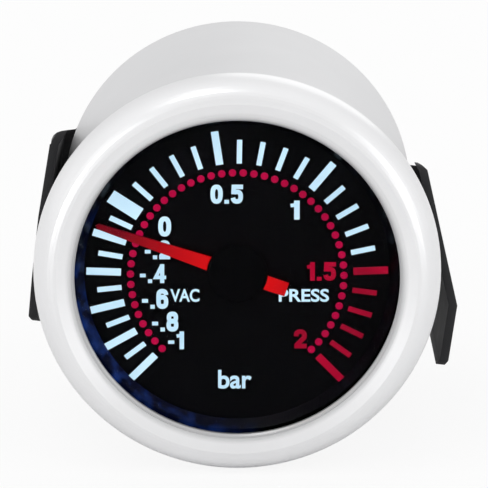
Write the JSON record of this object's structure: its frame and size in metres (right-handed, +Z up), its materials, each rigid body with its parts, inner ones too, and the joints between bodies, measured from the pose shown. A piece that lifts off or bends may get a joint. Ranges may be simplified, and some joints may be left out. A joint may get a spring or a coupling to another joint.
{
  "type": "boost gauge",
  "caption": "Round dashboard boost gauge: crimped bezel, lamp-lit dial, geared pointer on a bourdon tube movement, rear hose nipple and clamping bracket.",
  "frame": {"origin": "on the gauge axis, in the plane of the bezel's rear face, which meets the dashboard panel", "axes": "+Y along the gauge axis, from the dial towards the rear fitting; +Z up"},
  "size_m": [0.0637, 0.0723, 0.06],
  "materials": {
    "bezel_silver": "satin silver-white paint",
    "lens_glass": "clear, lightly smoked",
    "black_rubber": "matte",
    "black_gloss": "gloss black",
    "case_paint": "pale grey paint",
    "dial_black": "matte black",
    "clear_acrylic": "frosted clear",
    "black_plastic": "moulded",
    "board_green": "solder mask",
    "lamp_white": "moulded",
    "pointer_red": "red lit",
    "steel": "turned",
    "brass": "brushed",
    "spring_bronze": "drawn phosphor bronze",
    "fitting_brass": "turned",
    "bracket_black": "matte black coating"
  },
  "bodies": {
    "gauge": {"bezel_ring": "bezel_silver", "lens": "lens_glass", "lens_gasket": "black_rubber", "shade_ring": "black_gloss", "case_cup": "case_paint", "dial_plate": "dial_black", "light_guide": "clear_acrylic", "spacer_ring": "black_plastic", "lamp_board": "board_green", "lamps": "lamp_white", "hairspring": "spring_bronze", "spring_peg": "brass", "front_plate": "brass", "back_plate": "brass", "plate_pillars": "brass", "plate_screws": "steel", "bourdon_tube": "spring_bronze", "pressure_socket": "fitting_brass", "socket_screws": "steel", "stem_seal": "black_rubber", "stem_washer": "steel", "stem_nut": "fitting_brass", "wire_grommet": "black_rubber", "clamp_studs": "steel"},
    "pointer": {"pointer": "pointer_red", "hub_cap": "black_gloss", "pinion_arbor": "steel", "spring_collet": "brass"},
    "sector": {"sector_gear": "brass", "sector_arbor": "steel"},
    "link": {"link": "brass"},
    "tube_end": {"tube_tip": "brass"},
    "bracket": {"bracket": "bracket_black", "bracket_washers": "steel", "thumb_nuts": "fitting_brass"}
  },
  "joints": [
    {"name": "sector_turn", "type": "hinge", "parent": "gauge", "child": "sector", "pos_m": [0, 0.0131, -0.014], "axis": [0, 1, 0], "range_deg": [-34.33, 10.67]},
    {"name": "pointer_spin", "type": "hinge", "parent": "gauge", "child": "pointer", "pos_m": [0, 0, 0], "axis": [0, 1, 0], "range_deg": [-64.1, 206.1], "deforming": ["hairspring"]},
    {"name": "link_swing", "type": "hinge", "parent": "sector", "child": "link", "pos_m": [0.00061, 0.0143, -0.01714], "axis": [0, 1, 0], "range_deg": [-9.8, 31.2]},
    {"name": "tube_flex", "type": "hinge", "parent": "gauge", "child": "tube_end", "pos_m": [-0.00192, 0.0235, 0.00609], "axis": [0, 1, 0], "range_deg": [-5, 1.6], "deforming": ["bourdon_tube"]},
    {"name": "bracket_slide", "type": "slide", "parent": "gauge", "child": "bracket", "axis": [0, 1, 0], "range_m": [-0.006, 0.004]}
  ],
  "couplings": [
    {"joint": "pointer_spin", "follows": "sector_turn", "ratio": -6},
    {"joint": "link_swing", "follows": "sector_turn", "ratio": -0.9059},
    {"joint": "tube_flex", "follows": "sector_turn", "ratio": 0.1423}
  ]
}
